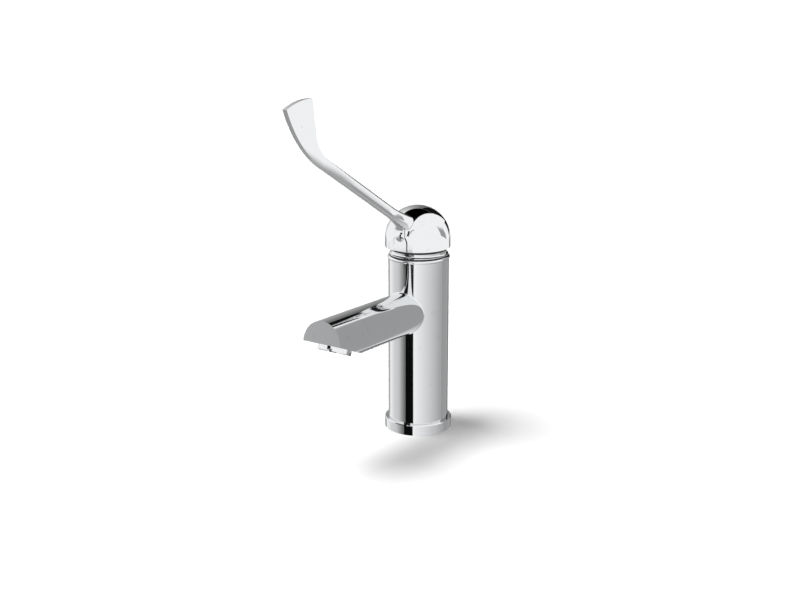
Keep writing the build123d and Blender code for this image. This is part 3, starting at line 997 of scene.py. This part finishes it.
@dataclass(frozen=True)
class Lamp:
    """One large soft lamp from the left of the picture, nearly overhead.

    Attributes:
        angle: Width of the lamp as the tap sees it, in degrees.
        energy: Its strength.
        rise: How far it stands up for each metre that it stands to the left.
    """

    angle: float = 30.0
    energy: float = 3.2
    rise: float = 2.3

    def build(self) -> None:
        """Makes the lamp, which reflections don't see."""
        lamp = bpy.data.lights.new("softbox", "SUN")
        lamp.angle = radians(self.angle)
        lamp.energy = self.energy
        lantern = bpy.data.objects.new("softbox", lamp)
        yaw = radians(CAMERA_YAW)
        place = Vector((-cos(yaw), -sin(yaw), self.rise))
        lantern.location = place
        lantern.rotation_euler = (-place).to_track_quat("-Z", "Y").to_euler()
        lantern.visible_glossy = False
        bpy.context.scene.collection.objects.link(lantern)


@dataclass(frozen=True)
class Studio:
    """Floor, background, lamp and what the chrome reflects.

    Attributes:
        cards: Tones of the surroundings, laid over each other in order.
        panels: Panels beside the handle.
        strips: Strips around the tap.
        roof: What the cards lie on.
        ambient: Brightness of the surroundings for everything that isn't glossy.
    """

    cards: tuple[Card, ...]
    panels: tuple[Panel, ...]
    strips: tuple[Strip, ...]
    roof: Roof = Roof()
    ambient: float = 0.25

    def build(self) -> None:
        """Makes the whole studio."""
        self._world()
        Floor().build()
        Lamp().build()
        for panel in self.panels:
            panel.build()
        for strip in self.strips:
            strip.build()

    def _world(self) -> None:
        """Surroundings: white to the camera, cards to the chrome."""
        world = bpy.data.worlds.new("studio")
        bpy.context.scene.world = world
        world.use_nodes = True
        world.node_tree.nodes.clear()
        graph = Graph(world.node_tree)
        direction = graph.node(Shader.COORDINATES).outputs["Generated"]
        east, north, up = graph.node(Shader.SEPARATE, {0: direction}).outputs
        # turned so that azimuth 0 points from the tap to the camera
        yaw = radians(CAMERA_YAW)
        toward = graph.math(
            "SUBTRACT",
            graph.math("MULTIPLY", east, sin(yaw)),
            graph.math("MULTIPLY", north, cos(yaw)),
        )
        across = graph.math(
            "ADD",
            graph.math("MULTIPLY", east, cos(yaw)),
            graph.math("MULTIPLY", north, sin(yaw)),
        )
        azimuth = graph.math(
            "MULTIPLY", graph.math("ARCTAN2", across, toward), DEGREES_PER_RADIAN
        )
        elevation = graph.math("MULTIPLY", graph.math("ARCSINE", up), DEGREES_PER_RADIAN)
        tone = self.roof.tone(graph, across, toward, up, elevation)
        for card in self.cards:
            tone = card.lay(graph, azimuth, elevation, tone)
        path = graph.node(Shader.LIGHT_PATH)
        glossy = path.outputs["Is Glossy Ray"]
        seen = graph.math("MULTIPLY", glossy, tone)
        plain = graph.math("MULTIPLY", graph.math("SUBTRACT", 1.0, glossy), self.ambient)
        strength = graph.math(
            "MAXIMUM", graph.math("ADD", seen, plain), path.outputs["Is Camera Ray"]
        )
        background = graph.node(
            Shader.BACKGROUND, {"Color": (1.0, 1.0, 1.0, 1.0), "Strength": strength}
        )
        output = graph.node(Shader.WORLD_OUTPUT)
        graph.put(output.inputs["Surface"], background.outputs[0])


@dataclass(frozen=True)
class Camera:
    """Camera at the photograph's place and angle.

    Attributes:
        place: Its place.
        tilt: Its tilt up from straight down, in degrees.
        lens: Its focal length, in millimetres.
        sensor: Width of its sensor, in millimetres.
        near: Distance where it starts to see.
    """

    place: Point = (0.5234, -0.7894, 0.3679)
    tilt: float = 74.25
    lens: float = 58.02
    sensor: float = 36.0
    near: float = 0.01

    def build(self) -> None:
        """Makes the camera the scene's own."""
        data = bpy.data.cameras.new("camera")
        data.lens = self.lens
        data.sensor_width = self.sensor
        data.clip_start = self.near
        camera = bpy.data.objects.new("camera", data)
        camera.location = self.place
        camera.rotation_euler = (radians(self.tilt), 0.0, radians(CAMERA_YAW))
        bpy.context.scene.collection.objects.link(camera)
        bpy.context.scene.camera = camera


CARDS = (
    Card(170, 220, -12, 44, 0.12, 1.0),
    Card(142, 170, -8, 44, 0.006, 0.006),
    Card(143, 219, -90, -10, 0.21, 0.48),
    Card(97, 142, -90, 38, 0.36, 0.37, 1.5, 3.0),
    Card(-20, 97, -90, -13, WHITE, 0.4),
    Card(-141, -112, -90, -13, WHITE, 0.8),
    Card(-112, -80, -90, -13, 0.76, 0.64),
    Card(-82, -52, -90, -3, 0.64, 0.12),
    Card(-52, -19, -90, -13, 0.004, 0.004, 1.2),
    Card(-60, -41.5, -14.1, 12, 0.01, 0.01, 1.0, 0.5),
    Card(-58, -31, 14, 32, 0.01, 0.01),
    Card(-150, -60, -90, -24, 0.38, 0.34),
)

# The lever's panel stands upright beside cap and lever: its place along X, and
# its outline along Y and Z
LEVER_PANEL_X = 0.0265
LEVER_PANEL_OUTLINE = (
    (0.047, 0.125),
    (-0.02, 0.165),
    (-0.107, 0.22),
    (-0.2, 0.22),
    (-0.2, 0.33),
    (0.047, 0.33),
)
PANELS = (
    Panel(
        "lever_panel",
        corners=tuple((LEVER_PANEL_X, y, z) for y, z in LEVER_PANEL_OUTLINE),
        tone=WHITE,
        low_tone=0.36,
        slope=(0.0, 0.6, 1.0),
        start=0.159,
        end=0.1665,
    ),
)

# Radii of the two rings that the strips are parts of, and the heights of the
# near ring's edges and of the line where its strips meet
FAR_RING = 1.0
NEAR_RING = 0.0268
FAR_LOW = -0.0945
NEAR_LOW, NEAR_SPLIT, NEAR_HIGH = 0.1415, 0.165, 0.19
STRIPS = (
    Strip("front_left_strip", -112, -61, FAR_LOW, -0.055, FAR_RING),
    Strip("front_right_strip", -40.5, 97, FAR_LOW, 0.02, FAR_RING),
    Strip("cap_strip", -10, 82, NEAR_LOW, NEAR_SPLIT, NEAR_RING),
    Strip("dome_strip", -10, 108, NEAR_SPLIT, NEAR_HIGH, NEAR_RING),
)

FINISHES = (
    Chrome("chrome_body"),
    Chrome("chrome_handle", stretch=3.0),
    TurnedMetal("brass", (0.72, 0.53, 0.25), (0.62, 0.44, 0.2)),
    TurnedMetal("steel", (0.56, 0.56, 0.57), (0.46, 0.46, 0.47), roughness=0.22, pitch=0.2),
    Moulded("rubber", (0.022, 0.022, 0.024), (0.04, 0.04, 0.042), 0.62, 0.25, 0.00002),
    Moulded("white_acetal", (0.82, 0.82, 0.79), (0.76, 0.76, 0.73), 0.38, 0.5, 0.00001),
    Moulded("grey_acetal", (0.14, 0.145, 0.15), (0.1, 0.105, 0.11), 0.42, 0.5, 0.00001),
    Moulded("ceramic", (0.86, 0.85, 0.82), (0.8, 0.79, 0.76), 0.16, 0.15, 0.000004),
)

ASSEMBLIES = (
    SubAssembly(
        "body",
        {
            "body_casting": "chrome_body",
            "base_ring": "chrome_body",
            "cover_ring": "chrome_body",
            "base_seal": "rubber",
            # rim_seal and cap_seal are black rubber rings, partly real seals and partly painted
            # shade: their black stands in for the shade in the gaps under the cover ring and
            # under the cap
            "rim_seal": "rubber",
            "cap_seal": "rubber",
        },
    ),
    SubAssembly(
        "cartridge",
        {
            "seat_seals": "rubber",
            "cartridge_base": "white_acetal",
            "disc_seals": "rubber",
            "fixed_disc": "ceramic",
            "moving_disc": "ceramic",
            "disc_carrier": "grey_acetal",
            "rotating_guide": "white_acetal",
            "pivot_pin": "steel",
            "lever_stem": "brass",
            "cartridge_housing": "white_acetal",
            "limiter_ring": "grey_acetal",
            "retaining_nut": "brass",
        },
    ),
    SubAssembly(
        "handle",
        {
            "lever_handle": "chrome_handle",
            "handle_insert": "white_acetal",
            "grub_screw": "steel",
            "index_plug": "chrome_handle",
        },
    ),
    SubAssembly(
        "aerator",
        {
            "aerator_housing": "chrome_body",
            "aerator_washer": "rubber",
            "aerator_insert": "grey_acetal",
            "aerator_screen": "steel",
        },
    ),
)

THREADS = (
    Thread("cold_inlet_thread", 0.007, -0.004, 0.0005, 0.005, 0.00054, 0.001, 0.012),
    Thread("hot_inlet_thread", -0.007, -0.004, 0.0005, 0.005, 0.00054, 0.001, 0.012),
    Thread("stud_thread", 0.0, 0.0095, 0.0005, 0.004, 0.00062, 0.00125, 0.016),
)


def main() -> None:
    """Dresses the tap and sets up its studio and camera."""
    logging.basicConfig(level=logging.INFO, format="%(name)s: %(message)s")
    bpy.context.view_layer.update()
    effects = Effects()
    materials = {finish.name: finish.make(effects) for finish in FINISHES}
    for assembly in ASSEMBLIES:
        assembly.dress(materials)
    for thread in THREADS:
        thread.build(materials["brass"])
    Studio(CARDS, PANELS, STRIPS).build()
    Camera().build()
    bpy.context.scene.view_settings.view_transform = "Standard"


if __name__ == "__main__":
    main()
